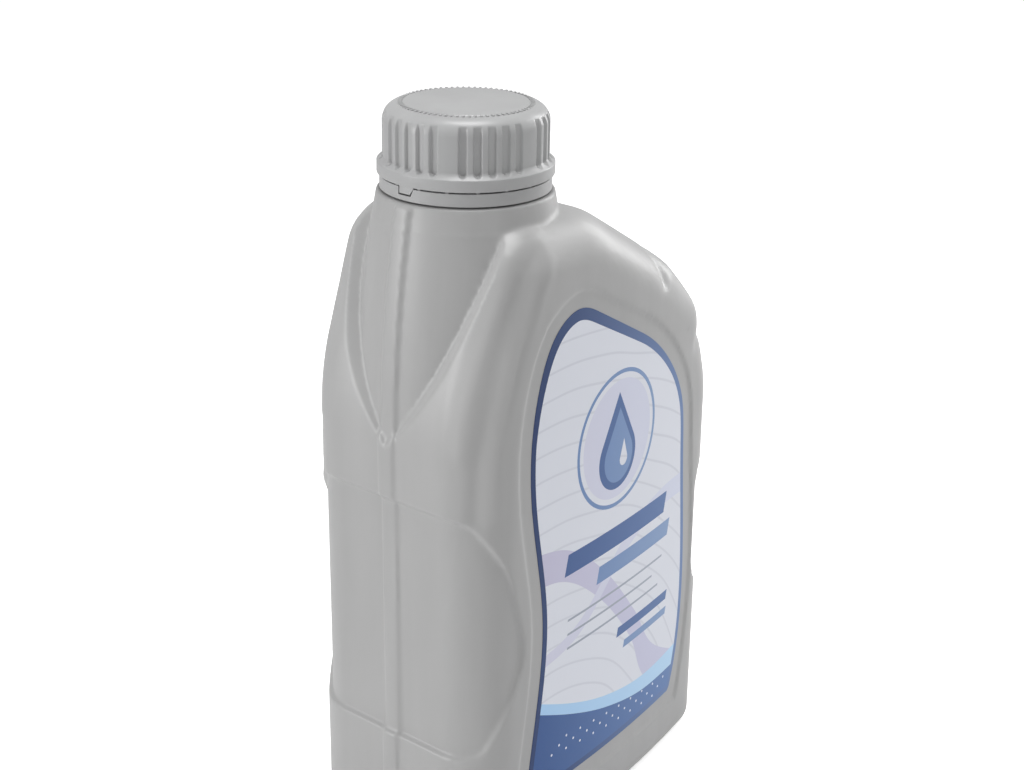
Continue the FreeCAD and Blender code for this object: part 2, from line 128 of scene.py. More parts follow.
# The cap, in millimetres: levels from the slit, and radii. From its middle outwards and down
# come a raised disc, the rounded crown, the skirt, a slope and a flange; inside, a bevel joins
# the bore to the roof. The edges of disc and flange are steps outwards and upwards, from the
# disc's radius at the crown's top, and from the flange's radius at the cap's base.
CAP_COLUMNS = 720
CAP_BASE = 0.3
CAP_INSIDE = 17.2
CAP_TOP = 18.9
CAP_BORE = 20.6
CAP_BEVEL_REACH = 1.5
CAP_BEVEL_DROP = 1.6
CAP_RADIUS = 22.1
CROWN = 4.5
CROWN_STEPS = 24
HUB_RADIUS = 4.0
DISC_RADIUS = 16.6
DISC_RISE = 0.35
DISC_EDGE = [(-0.15, 0.35), (0.0, 0.29), (0.2, 0.06), (0.35, 0.0)]
FLANGE_RADIUS = 23.6
FLANGE_TOP = 3.4
FLANGE_SHOULDER = 3.15
FLANGE_EDGE = [(0.0, 0.25), (-0.06, 0.08), (-0.25, 0.0)]
SLOPE_TOP = 5.0
SLOPE_STEPS = 15
SLOPE_POWER = 1.4
MOUTH_EDGE = 0.2
WAD_RADIUS = 19.0
WAD_EDGE = 0.1

# The rows of points down the cap's skirt, in millimetres: the clear height above each run of
# rows, and the steps between rows along the slots and at their feet.
ROW_CLEARANCE = 0.5
SKIRT_STEP = 0.8
SLOT_FOOT_STEP = 0.12

# The cap's grip slots: groups, slots in each, and the shape of one in millimetres.
SLOT_GROUP = math.radians(60)
SLOT_PITCH = math.radians(10)
SLOT_SPREAD = 2
SLOT_HALF = 1.05
SLOT_START = 5.0
SLOT_FLOOR = 21.2
SLOT_EDGE = 0.32

# The tab below the cap's edge, in millimetres: its middle's angle, and its outline from the
# slit, steep on one side and slanted on the other.
TAB_ANGLE = math.pi
TAB_INNER = 21.15
TAB_OUTER = 22.9
TAB_SECTION = [(-2.45, 0.6), (-2.45, -1.9), (1.25, -1.9), (2.45, -0.25), (2.45, 0.6)]
TAB_ROUNDING = 0.12 * MM

# The screw thread: pitch, turns and section, and how its ends fade out.
THREAD_PITCH = 4.0 * MM
NECK_THREAD_TURNS = 1.75
CAP_THREAD_TURNS = 1.6
THREAD_START = LIP - 11.2 * MM
NECK_RADIUS = 18.9 * MM
THREAD_RISE = 1.15 * MM
THREAD_SINK = 0.15 * MM
THREAD_SECTION = [(-0.85, 0.0), (-0.35, 1.0), (0.35, 1.0), (0.85, 0.0)]
THREAD_STEPS = 72
THREAD_FADE = 0.125
THREAD_LEAST = 0.05
THREAD_SLIM = 0.4
THREAD_ROUNDING = 0.15 * MM

# The ring of fine raised ticks around the cap's disc, in millimetres.
TICKS = 72
TICK_INNER = 16.85
TICK_OUTER = 18.0
TICK_WIDTH = 0.62
TICK_RISE = 0.34
TICK_ROUNDING = 0.08 * MM

# The front panel's bow, and how the label's film is cut and laid on it. The rest of the label's
# sizes are in millimetres on the bottle's X and Z.
PANEL_RADIUS = 469.1 * MM
PANEL_DEEPEST = -22.9 * MM
LABEL_LIFT = 0.02 * MM
LABEL_FILM = 0.12 * MM
LABEL_STEP = 3.0
OUTLINE_STEP = 1.5
CUT_TOLERANCE = 0.0001
LABEL_SHOULDER = 132.0

# The border's width, which grows towards the top of the label.
BORDER_WIDTH = 1.9
BORDER_TOP = 3.4
BORDER_FADE = 34.0

# Wide bands of colour between two smooth curves, from the lowest layer up.
SWEEPS = [
    ("lilac",
     [(-20, 96), (6, 92), (26, 78), (44, 58), (58, 40), (90, 24)],
     [(-20, 84), (4, 83), (24, 70), (42, 50), (54, 30), (90, 8)]),
    ("pale_lilac",
     [(-20, 60), (12, 66), (36, 84), (58, 92), (90, 92)],
     [(-20, 57), (12, 62), (36, 79), (58, 86), (90, 85)]),
    ("sky",
     [(-20, 56), (-8, 50), (12, 41.5), (30, 36), (50, 33), (72, 34), (90, 36)],
     [(-20, 0), (90, 0)]),
    ("foot",
     [(-20, 52.5), (-8, 46.5), (12, 38), (30, 32), (50, 28), (72, 27.5), (90, 28)],
     [(-20, 0), (90, 0)]),
]

# A ring with a drop in it: radii of the discs, then each drop's middle, radius and height.
RING_MIDDLE = (31.0, 117.0)
RING_CORNERS = 72
RINGS = [("steel", 20.5), ("field", 19.3), ("pale_lilac", 17.6)]
DROP_CORNERS = 40
DROPS = [
    ("deep", 31.0, 111.5, 9.6, 19.5),
    ("steel", 31.6, 111.2, 7.4, 15.0),
    ("field", 34.2, 110.0, 2.0, 6.2),
]

# Leaning bars and thin rules: the lower left corner, the width and the height. Their ends lean
# by a share of the height.
BAR_LEAN = 0.25
BARS = [
    ("deep", 6.0, 83.5, 54.0, 6.4),
    ("steel", 22.0, 75.0, 41.0, 5.2),
    ("rule", 8.0, 69.0, 52.0, 0.7),
    ("rule", 8.0, 64.6, 46.0, 0.7),
    ("rule", 8.0, 60.2, 50.0, 0.7),
    ("deep", 34.0, 53.0, 30.0, 3.0),
    ("steel", 38.0, 48.0, 26.0, 2.4),
]

# Small dots on the foot: rows, dots in a row, their spacing, and how the rows rise and lean.
DOT_ROWS = 3
DOT_COLUMNS = 9
DOT_LEFT, DOT_RIGHT = 2.0, 66.0
DOT_PITCH = 7.0
DOT_BASE = 21.3
DOT_ROW_RISE = 2.1
DOT_SLOPE = 0.12
DOT_RADIUS = 0.42
DOT_CORNERS = 6

# The inks, each with its tone at the neck end and at the far end of the label.
FIELD_TONE, FIELD_LINE_TONE = "dfe2eb", "d3d6e0"
INK_TONES = {
    "navy_edge": ("1c3566", "6c86b5"),
    "lilac": ("c6c3da", "cbcde4"),
    "pale_lilac": ("d2d2e4", "d6dbec"),
    "sky": ("a9cff3", "bcdcf7"),
    "foot": ("30548f", "6686b9"),
    "steel": ("5f80b4", "8ea6cb"),
    "deep": ("37568f", "627fb0"),
    "rule": ("9aa1b0", "a9b0bf"),
    "white": ("e6ebf4", "edf1f7"),
}


def make_camera():
    """The camera at the photograph's place and angle."""
    data = bpy.data.cameras.new("camera")
    camera = bpy.data.objects.new("camera", data)
    scene.collection.objects.link(camera)
    data.sensor_width = SENSOR
    data.lens = SENSOR * FOCAL_PIXELS / FRAME_WIDTH
    look = Vector((math.sin(CAMERA_TURN) * math.cos(CAMERA_PITCH),
                   math.cos(CAMERA_TURN) * math.cos(CAMERA_PITCH),
                   -math.sin(CAMERA_PITCH)))
    right = Vector((math.cos(CAMERA_TURN), -math.sin(CAMERA_TURN), 0))
    up = right.cross(look)
    tilted_right = right * math.cos(CAMERA_ROLL) + up * math.sin(CAMERA_ROLL)
    tilted_up = up * math.cos(CAMERA_ROLL) - right * math.sin(CAMERA_ROLL)
    turn = Matrix((tilted_right, tilted_up, -look)).transposed().to_4x4()
    place = CAMERA_PLACE + Vector((0, 0, SLIT))
    camera.matrix_world = Matrix.Translation(place) @ turn
    data.clip_start = 0.01
    data.clip_end = 50
    scene.camera = camera


def new_material(name):
    """A node material with its shader ready."""
    material = bpy.data.materials.new(name)
    material.use_nodes = True
    nodes = material.node_tree.nodes
    return material, nodes, material.node_tree.links, nodes["Principled BSDF"]


def add_noise(nodes, links, source, scale, detail=3.0):
    """A noise texture over the given coordinates."""
    noise = nodes.new("ShaderNodeTexNoise")
    noise.inputs["Scale"].default_value = scale
    noise.inputs["Detail"].default_value = detail
    links.new(source, noise.inputs["Vector"])
    return noise.outputs["Fac"]


def add_ramp(nodes, links, factor, stops):
    """A colour ramp with the given (place, colour) stops."""
    ramp = nodes.new("ShaderNodeValToRGB")
    while len(ramp.color_ramp.elements) < len(stops):
        ramp.color_ramp.elements.new(0.5)
    for element, (place, colour) in zip(ramp.color_ramp.elements, stops):
        element.position = place
        element.color = (*colour, 1.0)
    links.new(factor, ramp.inputs["Fac"])
    return ramp.outputs["Color"]


def add_bump(nodes, links, height, strength, distance, normal=None):
    """A bump node, chained onto another if one is given."""
    bump = nodes.new("ShaderNodeBump")
    bump.inputs["Strength"].default_value = strength
    bump.inputs["Distance"].default_value = distance
    links.new(height, bump.inputs["Height"])
    if normal is not None:
        links.new(normal, bump.inputs["Normal"])
    return bump.outputs["Normal"]


def add_place(nodes, links, scale=(1.0, 1.0, 1.0)):
    """Object coordinates, stretched along the axes."""
    place = nodes.new("ShaderNodeTexCoord").outputs["Object"]
    stretch = nodes.new("ShaderNodeMapping")
    stretch.inputs["Scale"].default_value = scale
    links.new(place, stretch.inputs["Vector"])
    return stretch.outputs["Vector"]


def srgb(code):
    """A colour written as six hexadecimal digits, as linear values."""
    values = [int(code[start:start + 2], 16) / 255 for start in (0, 2, 4)]
    return tuple(value / 12.92 if value <= 0.04045 else ((value + 0.055) / 1.055) ** 2.4
                 for value in values)


def pearl_plastic(name, dark, light, roughness):
    """Grey pearl-pigmented plastic: faint upright flow streaks and a fine satin grain."""
    material, nodes, links, shader = new_material(name)
    upright = add_place(nodes, links, scale=(1.0, 1.0, 0.14))
    flow = add_noise(nodes, links, upright, scale=70.0, detail=4.0)
    links.new(add_ramp(nodes, links, flow, [(0.30, srgb(dark)), (0.70, srgb(light))]),
              shader.inputs["Base Color"])
    shader.inputs["Roughness"].default_value = roughness
    shader.inputs["Specular IOR Level"].default_value = 0.5
    shader.inputs["Sheen Weight"].default_value = 0.08
    shader.inputs["Sheen Roughness"].default_value = 0.5
    place = add_place(nodes, links)
    waves = add_noise(nodes, links, place, scale=110.0, detail=2.0)
    grain = add_noise(nodes, links, place, scale=2400.0, detail=2.0)
    soft = add_bump(nodes, links, waves, strength=0.2, distance=0.2 * MM)
    fine = add_bump(nodes, links, grain, strength=0.12, distance=0.05 * MM, normal=soft)
    links.new(fine, shader.inputs["Normal"])
    return material


def plain_finish(name, dark, light, roughness, scale, relief):
    """A surface of one colour with slight clouding and grain."""
    material, nodes, links, shader = new_material(name)
    cloud = add_noise(nodes, links, add_place(nodes, links), scale)
    links.new(add_ramp(nodes, links, cloud, [(0.35, srgb(dark)), (0.65, srgb(light))]),
              shader.inputs["Base Color"])
    shader.inputs["Roughness"].default_value = roughness
    bump = add_bump(nodes, links, cloud, strength=0.3, distance=relief)
    links.new(bump, shader.inputs["Normal"])
    return material


def finish_film(nodes, links, shader):
    """The label film's satin coat and its very slight waves."""
    shader.inputs["Roughness"].default_value = 0.42
    shader.inputs["Specular IOR Level"].default_value = 0.3
    film = add_noise(nodes, links, add_place(nodes, links), scale=160.0, detail=2.0)
    bump = add_bump(nodes, links, film, strength=0.15, distance=0.05 * MM)
    links.new(bump, shader.inputs["Normal"])


def plain_ink(name, near, far):
    """Printed film whose colour runs from one tone at the neck end to another at the far end."""
    material, nodes, links, shader = new_material(name)
    split = nodes.new("ShaderNodeSeparateXYZ")
    links.new(add_place(nodes, links), split.inputs["Vector"])
    span = nodes.new("ShaderNodeMapRange")
    span.inputs["From Min"].default_value = LABEL_LOW.x
    span.inputs["From Max"].default_value = LABEL_HIGH.x
    links.new(split.outputs["X"], span.inputs["Value"])
    tones = add_ramp(nodes, links, span.outputs["Result"], [(0.0, srgb(near)), (1.0, srgb(far))])
    links.new(tones, shader.inputs["Base Color"])
    finish_film(nodes, links, shader)
    return material


def field_ink(name):
    """The label's pale field, with faint curved lines printed in it."""
    material, nodes, links, shader = new_material(name)
    rings = nodes.new("ShaderNodeTexWave")
    rings.wave_type = "RINGS"
    rings.rings_direction = "Y"
    rings.inputs["Scale"].default_value = 42.0
    rings.inputs["Distortion"].default_value = 1.0
    rings.inputs["Detail"].default_value = 0.0
    links.new(add_place(nodes, links), rings.inputs["Vector"])
    lines = add_ramp(nodes, links, rings.outputs["Fac"],
                     [(0.965, srgb(FIELD_TONE)), (0.995, srgb(FIELD_LINE_TONE))])
    links.new(lines, shader.inputs["Base Color"])
    finish_film(nodes, links, shader)
    return material


def label_inks():
    """The label's inks by name."""
    inks = {"field": field_ink("label_field")}
    for name, (near, far) in INK_TONES.items():
        inks[name] = plain_ink("label_" + name, near, far)
    return inks


def set_material(thing, material):
    """Give a piece its one material."""
    thing.data.materials.clear()
    thing.data.materials.append(material)


def link_mesh(name, data):
    """A new object in the scene for a mesh."""
    thing = bpy.data.objects.new(name, data)
    scene.collection.objects.link(thing)
    return thing


def store_mesh(name, mesh):
    """The stored mesh of a mesh under edit, which is freed."""
    data = bpy.data.meshes.new(name)
    mesh.to_mesh(data)
    mesh.free()
    return data


def closed_piece(name, vertices, faces):
    """A new object for a closed mesh, with its faces turned outwards."""
    data = bpy.data.meshes.new(name)
    data.from_pydata(vertices, [], faces)
    mesh = bmesh.new()
    mesh.from_mesh(data)
    bmesh.ops.recalc_face_normals(mesh, faces=mesh.faces)
    mesh.to_mesh(data)
    mesh.free()
    return link_mesh(name, data)


def make_world():
    """White to the camera, and an even grey light to everything else."""
    world = bpy.data.worlds.new("world")
    scene.world = world
    world.use_nodes = True
    nodes, links = world.node_tree.nodes, world.node_tree.links
    nodes["Background"].inputs["Color"].default_value = (WORLD_LIGHT, WORLD_LIGHT, WORLD_LIGHT, 1)
    white = nodes.new("ShaderNodeBackground")
    white.inputs["Color"].default_value = (1, 1, 1, 1)
    mix = nodes.new("ShaderNodeMixShader")
    path = nodes.new("ShaderNodeLightPath")
    links.new(path.outputs["Is Camera Ray"], mix.inputs["Fac"])
    links.new(nodes["Background"].outputs[0], mix.inputs[1])
    links.new(white.outputs[0], mix.inputs[2])
    links.new(mix.outputs[0], nodes["World Output"].inputs["Surface"])


def make_floor():
    """A white floor that keeps the shadow."""
    corners = [(-1, -1), (1, -1), (1, 1), (-1, 1)]
    mesh = bpy.data.meshes.new("floor")
    mesh.from_pydata([(x * FLOOR_HALF, y * FLOOR_HALF, 0) for x, y in corners], [], [(0, 1, 2, 3)])
    floor = link_mesh("floor", mesh)
    material, nodes, links, shader = new_material("floor_white")
    shader.inputs["Base Color"].default_value = (FLOOR_GREY, FLOOR_GREY, FLOOR_GREY, 1)
    shader.inputs["Roughness"].default_value = 0.9
    shader.inputs["Emission Color"].default_value = (1, 1, 1, 1)
    path = nodes.new("ShaderNodeLightPath")
    seen = nodes.new("ShaderNodeMath")
    seen.operation = "MULTIPLY"
    seen.inputs[1].default_value = FLOOR_GLOW
    links.new(path.outputs["Is Camera Ray"], seen.inputs[0])
    links.new(seen.outputs[0], shader.inputs["Emission Strength"])
    set_material(floor, material)


def make_lights():
    """The soft area lights, aimed at the bottle."""
    for name, place, width, height, power in LIGHTS:
        data = bpy.data.lights.new(name, "AREA")
        data.shape = "RECTANGLE"
        data.size = width
        data.size_y = height
        data.energy = power
        light = bpy.data.objects.new(name, data)
        scene.collection.objects.link(light)
        light.location = place
        light.rotation_mode = "QUATERNION"
        aim = Vector(LIGHTS_AIM) - Vector(place)
        light.rotation_quaternion = aim.to_track_quat("-Z", "Y")


def apply_modifiers(thing):
    """Bake a piece's modifiers into its mesh."""
    graph = bpy.context.evaluated_depsgraph_get()
    data = bpy.data.meshes.new_from_object(thing.evaluated_get(graph))
    thing.modifiers.clear()
    old = thing.data
    thing.data = data
    bpy.data.meshes.remove(old)


def soften(thing, voxel, passes):
    """Rebuild a closed mesh in even faces and round its edges a little."""
    remesh = thing.modifiers.new("even", "REMESH")
    remesh.mode = "VOXEL"
    remesh.voxel_size = voxel
    smooth = thing.modifiers.new("soft", "SMOOTH")
    smooth.factor = 0.5
    smooth.iterations = passes
    apply_modifiers(thing)


def thin_out(thing, faces):
    """Bring a mesh down to about the given number of triangles."""
    count = sum(len(polygon.vertices) - 2 for polygon in thing.data.polygons)
    decimate = thing.modifiers.new("fewer", "DECIMATE")
    decimate.ratio = min(1.0, faces / count)
    apply_modifiers(thing)


def round_edges(thing, width):
    """Give a piece's sharp edges a small rounding."""
    bevel = thing.modifiers.new("round", "BEVEL")
    bevel.width = width
    bevel.segments = 2


def shade_smooth(thing):
    """Smooth shading all over."""
    for polygon in thing.data.polygons:
        polygon.use_smooth = True


def loose_groups(mesh):
    """Groups of faces that share vertices."""
    left = set(mesh.faces)
    groups = []
    while left:
        seed = left.pop()
        stack, group = [seed], [seed]
        while stack:
            for vertex in stack.pop().verts:
                for other in vertex.link_faces:
                    if other in left:
                        left.remove(other)
                        group.append(other)
                        stack.append(other)
        groups.append(group)
    return groups


def bottle_skin(want_outer):
    """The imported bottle's outer skin or its cavity, as a closed mesh, with the neck squeezed.

    The two meet only in the flat ring of the lip, which is taken out first. The cavity's mouth
    is then drawn up a little, so that it cuts clear through the lip.
    """
    mesh = bmesh.new()
    mesh.from_mesh(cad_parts["bottle"].data)
    bmesh.ops.remove_doubles(mesh, verts=mesh.verts, dist=WELD)
    ring = [face for face in mesh.faces if face.calc_center_median().z > SOLID_LIP - LEVEL]
    bmesh.ops.delete(mesh, geom=ring, context="FACES")
    squeeze = (LIP - FINISH_FOOT) / (SOLID_LIP - FINISH_FOOT)
    for vertex in mesh.verts:
        vertex.co.z -= max(0.0, vertex.co.z - FINISH_FOOT) * (1 - squeeze)
    groups = loose_groups(mesh)
    groups.sort(key=lambda group: max(vertex.co.x for face in group for vertex in face.verts))
    keep = set(groups[-1] if want_outer else groups[-2])
    rest = [face for face in mesh.faces if face not in keep]
    bmesh.ops.delete(mesh, geom=rest, context="FACES")
    rim = [edge for edge in mesh.edges if edge.is_boundary]
    if not want_outer:
        raised = bmesh.ops.extrude_edge_only(mesh, edges=rim)["geom"]
        for vertex in raised:
            if isinstance(vertex, bmesh.types.BMVert):
                vertex.co.z += MOUTH_RISE
        rim = [edge for edge in mesh.edges if edge.is_boundary]
    bmesh.ops.holes_fill(mesh, edges=rim, sides=0)
    bmesh.ops.recalc_face_normals(mesh, faces=mesh.faces)
    return store_mesh("skin", mesh)


def distance_to_line(points, line):
    """Distance of many points from a chain of short runs, up to one metre."""
    best = np.full(len(points), 1.0)
    for start, end in zip(line, line[1:]):
        start, end = np.array(start) * MM, np.array(end) * MM
        run = end - start
        share = np.clip((points - start) @ run / (run @ run), 0, 1)
        best = np.minimum(best, np.linalg.norm(points - start - share[:, None] * run, axis=1))
    return best


def press_mould_lines(data):
    """Move the skin in and out along the mould's soft forms, alike on its front and back half."""
    count = len(data.vertices)
    place = np.empty(count * 3)
    normal = np.empty(count * 3)
    data.vertices.foreach_get("co", place)
    data.vertices.foreach_get("normal", normal)
    place, normal = place.reshape(-1, 3), normal.reshape(-1, 3)
    folded = place.copy()
    folded[:, 1] = -np.abs(folded[:, 1])
    move = np.zeros(count)
    for height, width, line in MOULD_LINES:
        move += height * MM * np.exp(-(distance_to_line(folded, line) / (width * MM)) ** 2)
    on_neck = (np.hypot(place[:, 0], place[:, 1]) < NECK_REACH * MM) & (place[:, 0] < 0)
    for level in NECK_LINES:
        away = (place[:, 2] - level * MM) / (NECK_LINE_WIDTH * MM)
        move += np.where(on_neck, NECK_LINE_HEIGHT * MM * np.exp(-away ** 2), 0)
    place += normal * move[:, None]
    data.vertices.foreach_set("co", place.ravel())
    data.update()


def make_bottle(plastic):
    """The blown shell, with the soft edges and flutes that the mould gives it."""
    shell = link_mesh("bottle_shell", bottle_skin(True))
    soften(shell, SHELL_VOXEL, SHELL_SMOOTHING)
    press_mould_lines(shell.data)
    thin_out(shell, SHELL_FACES)
    cutter = link_mesh("cavity", bottle_skin(False))
    hollow = shell.modifiers.new("hollow", "BOOLEAN")
    hollow.operation = "DIFFERENCE"
    hollow.solver = "MANIFOLD"
    hollow.object = cutter
    apply_modifiers(shell)
    bpy.data.objects.remove(cutter)
    shade_smooth(shell)
    set_material(shell, plastic)
    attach(shell, "bottle")
    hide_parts("bottle")


def helix_ridge(name, radius, outward, low, turns, material, body):
    """A screw thread's ridge, which fades in and out at its ends."""
    steps = int(turns * THREAD_STEPS)
    corners = len(THREAD_SECTION)
    vertices, faces = [], []
    for step in range(steps + 1):
        share = step / steps
        angle = share * turns * 2 * math.pi
        fade = max(THREAD_LEAST, min(1.0, share / THREAD_FADE, (1 - share) / THREAD_FADE))
        middle = low + THREAD_PITCH * angle / (2 * math.pi)
        for along, out in THREAD_SECTION:
            reach = radius + outward * (out * THREAD_RISE * fade - (1 - out) * THREAD_SINK)
            height = middle + along * MM * (THREAD_SLIM + (1 - THREAD_SLIM) * fade)
            vertices.append((reach * math.cos(angle), reach * math.sin(angle), height))
    for start in range(0, steps * corners, corners):
        for index in range(corners):
            after = (index + 1) % corners
            faces.append((start + index, start + after,
                          start + corners + after, start + corners + index))
    faces.append(tuple(range(corners))[::-1])
    faces.append(tuple(steps * corners + index for index in range(corners)))
    ridge = closed_piece(name, vertices, faces)
    round_edges(ridge, THREAD_ROUNDING)
    shade_smooth(ridge)
    set_material(ridge, material)
    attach(ridge, body)


def turned(name, profile, shape=None):
    """A solid of revolution from (radius, level) points that run from the axis out and back."""
    angles = np.arange(CAP_COLUMNS) * 2 * math.pi / CAP_COLUMNS
    radii = np.array([point[0] for point in profile])[:, None] + np.zeros(CAP_COLUMNS)
    levels = np.array([point[1] for point in profile])[:, None] + np.zeros(CAP_COLUMNS)
    if shape is not None:
        radii = shape(radii, levels, angles)
    place = np.stack((radii * np.cos(angles), radii * np.sin(angles), levels), axis=-1)
    place = place.reshape(-1, 3) * MM
    place[:, 2] += SLIT
    column = np.arange(CAP_COLUMNS)
    after = (column + 1) % CAP_COLUMNS
    faces = [tuple(column)]
    for row in range(len(profile) - 1):
        low, high = row * CAP_COLUMNS, (row + 1) * CAP_COLUMNS
        faces += np.stack((low + column, high + column, high + after, low + after), axis=1).tolist()
    faces.append(tuple(column[::-1] + (len(profile) - 1) * CAP_COLUMNS))
    data = bpy.data.meshes.new(name)
    data.from_pydata(place.tolist(), [], faces)
    thing = link_mesh(name, data)
    shade_smooth(thing)
    return thing


def slotted(radii, levels, angles):
    """The cap's outside with its grip slots sunk in."""
    in_group = (angles + SLOT_GROUP / 2) % SLOT_GROUP - SLOT_GROUP / 2
    nearest = np.clip(np.round(in_group / SLOT_PITCH), -SLOT_SPREAD, SLOT_SPREAD) * SLOT_PITCH
    aside = np.abs(in_group - nearest) * CAP_RADIUS
    below = np.maximum(0, SLOT_START - levels)
    share = np.clip(0.5 - (np.hypot(aside, below) - SLOT_HALF) / SLOT_EDGE, 0, 1)
    share = share ** 2 * (3 - 2 * share)
    return radii - np.maximum(0, radii - SLOT_FLOOR) * share


def cap_outline():
    """Half section of the cap: over the disc and the crown, down the skirt, and up inside.

    The rows lie closer together where the grip slots begin.
    """
    rim = CAP_TOP - DISC_RISE
    skirt_top = rim - CROWN - ROW_CLEARANCE
    close_top = SLOT_START + ROW_CLEARANCE
    points = [(HUB_RADIUS, CAP_TOP)]
    points += [(DISC_RADIUS + out, rim + up) for out, up in DISC_EDGE]
    for step in range(CROWN_STEPS + 1):
        turn = math.radians(90 * step / CROWN_STEPS)
        points.append((CAP_RADIUS - CROWN + CROWN * math.sin(turn),
                       rim - CROWN + CROWN * math.cos(turn)))
    for level in np.arange(skirt_top, close_top + 0.1, -SKIRT_STEP):
        points.append((CAP_RADIUS, level))
    for level in np.arange(close_top, SLOPE_TOP + 0.05, -SLOT_FOOT_STEP):
        points.append((CAP_RADIUS, level))
    for share in np.linspace(0, 1, SLOPE_STEPS):
        points.append((CAP_RADIUS + (FLANGE_RADIUS - CAP_RADIUS) * share ** SLOPE_POWER,
                       SLOPE_TOP + (FLANGE_TOP - SLOPE_TOP) * share))
    points.append((FLANGE_RADIUS, FLANGE_SHOULDER))
    points += [(FLANGE_RADIUS + out, CAP_BASE + up) for out, up in FLANGE_EDGE]
    points += [(CAP_BORE + MOUTH_EDGE, CAP_BASE), (CAP_BORE, CAP_BASE + MOUTH_EDGE),
               (CAP_BORE, CAP_INSIDE - CAP_BEVEL_DROP), (CAP_BORE - CAP_BEVEL_REACH, CAP_INSIDE),
               (HUB_RADIUS, CAP_INSIDE)]
    return points


def make_cap(plastic):
    """The screw cap, turned and slotted."""
    shell = turned("cap_shell", cap_outline(), slotted)
    set_material(shell, plastic)
    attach(shell, "cap")
    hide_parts("cap")


def make_wad(foam):
    """The sealing wad between the lip and the inside of the cap."""
    low, high = (LIP - SLIT) / MM, CAP_INSIDE
    wad = turned("sealing_wad", [(HUB_RADIUS, high), (WAD_RADIUS - WAD_EDGE, high),
                                 (WAD_RADIUS, high - WAD_EDGE), (WAD_RADIUS, low + WAD_EDGE),
                                 (WAD_RADIUS - WAD_EDGE, low), (HUB_RADIUS, low)])
    set_material(wad, foam)
    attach(wad, "cap")
    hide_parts("cap_liner")


def make_tab(plastic):
    """The tab that turns the tamper band."""
    count = len(TAB_SECTION)
    turn = Matrix.Rotation(TAB_ANGLE, 4, "Z")
    points = [turn @ Vector((math.sqrt(radius ** 2 - along ** 2) * MM, along * MM, SLIT + up * MM))
              for radius in (TAB_INNER, TAB_OUTER) for along, up in TAB_SECTION]
    faces = [tuple(range(count)), tuple(range(2 * count - 1, count - 1, -1))]
    for index in range(count):
        after = (index + 1) % count
        faces.append((index, count + index, count + after, after))
    tab = closed_piece("cap_tab", points, faces)
    round_edges(tab, TAB_ROUNDING)
    set_material(tab, plastic)
    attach(tab, "cap")


def make_band(plastic):
    """The tamper band, turned over so that its notch fits the tab."""
    mesh = bmesh.new()
    mesh.from_mesh(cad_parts["tamper_band"].data)
    across = Vector((-math.sin(TAB_ANGLE), math.cos(TAB_ANGLE), 0))
    for vertex in mesh.verts:
        vertex.co -= 2 * vertex.co.dot(across) * across
    bmesh.ops.reverse_faces(mesh, faces=mesh.faces)
    band = link_mesh("band_ring", store_mesh("band_ring", mesh))
    set_material(band, plastic)
    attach(band, "tamper_band")
    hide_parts("tamper_band")


def make_ticks(plastic):
    """A plain ring of small raised ticks around the disc on the cap."""
    mesh = bmesh.new()
    middle = (TICK_INNER + TICK_OUTER) / 2
    level = SLIT + (CAP_TOP - DISC_RISE) * MM
    size = Vector((TICK_OUTER - TICK_INNER, TICK_WIDTH, 2 * TICK_RISE)) * MM
    for index in range(TICKS):
        place = (Matrix.Rotation(2 * math.pi * index / TICKS, 4, "Z")
                 @ Matrix.Translation((middle * MM, 0, level))
                 @ Matrix.Diagonal((*size, 1)))
        bmesh.ops.create_cube(mesh, size=1.0, matrix=place)
    ticks = link_mesh("cap_ticks", store_mesh("cap_ticks", mesh))
    round_edges(ticks, TICK_ROUNDING)
    shade_smooth(ticks)
    set_material(ticks, plastic)
    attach(ticks, "cap")


def label_surface(x, z):
    """A point of the label's printed face, in metres."""
    away = x - PANEL_DEEPEST
    bow = PANEL_RADIUS - math.sqrt(PANEL_RADIUS ** 2 - away ** 2)
    return Vector((x, LABEL_LOW.y - LABEL_LIFT + bow, z))


def label_edge():
    """The film's outline in millimetres, read from the front face of the CAD label."""
    mesh = bmesh.new()
    mesh.from_mesh(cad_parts["front_label"].data)
    bmesh.ops.remove_doubles(mesh, verts=mesh.verts, dist=WELD)
    front = {face for face in mesh.faces if face.normal.y < -0.5}
    rim = [edge for edge in mesh.edges if sum(face in front for face in edge.link_faces) == 1]
    beside = {}
    for edge in rim:
        first, second = edge.verts
        beside.setdefault(first, []).append(second)
        beside.setdefault(second, []).append(first)
    start = min(beside, key=lambda vertex: (vertex.co.z, vertex.co.x))
    chain, before, here = [start], None, start
    while True:
        after = [vertex for vertex in beside[here] if vertex is not before][0]
        before, here = here, after
        if here is start:
            break
        chain.append(here)
    outline = [(vertex.co.x / MM, vertex.co.z / MM) for vertex in chain]
    mesh.free()
    return outline


def even_outline(outline, step):
    """The same closed outline, anticlockwise, with points a set step apart."""
    area = sum(x0 * z1 - x1 * z0 for (x0, z0), (x1, z1) in zip(outline, outline[1:] + outline[:1]))
    points = [Vector(point) for point in (outline if area > 0 else outline[::-1])]
    points.append(points[0])
    lengths = [0.0]
    for before, after in zip(points, points[1:]):
        lengths.append(lengths[-1] + (after - before).length)
    count = int(lengths[-1] / step)
    result, index = [], 0
    for number in range(count):
        target = lengths[-1] * number / count
        while lengths[index + 1] < target:
            index += 1
        share = (target - lengths[index]) / (lengths[index + 1] - lengths[index])
        result.append(tuple(points[index].lerp(points[index + 1], share)))
    return result


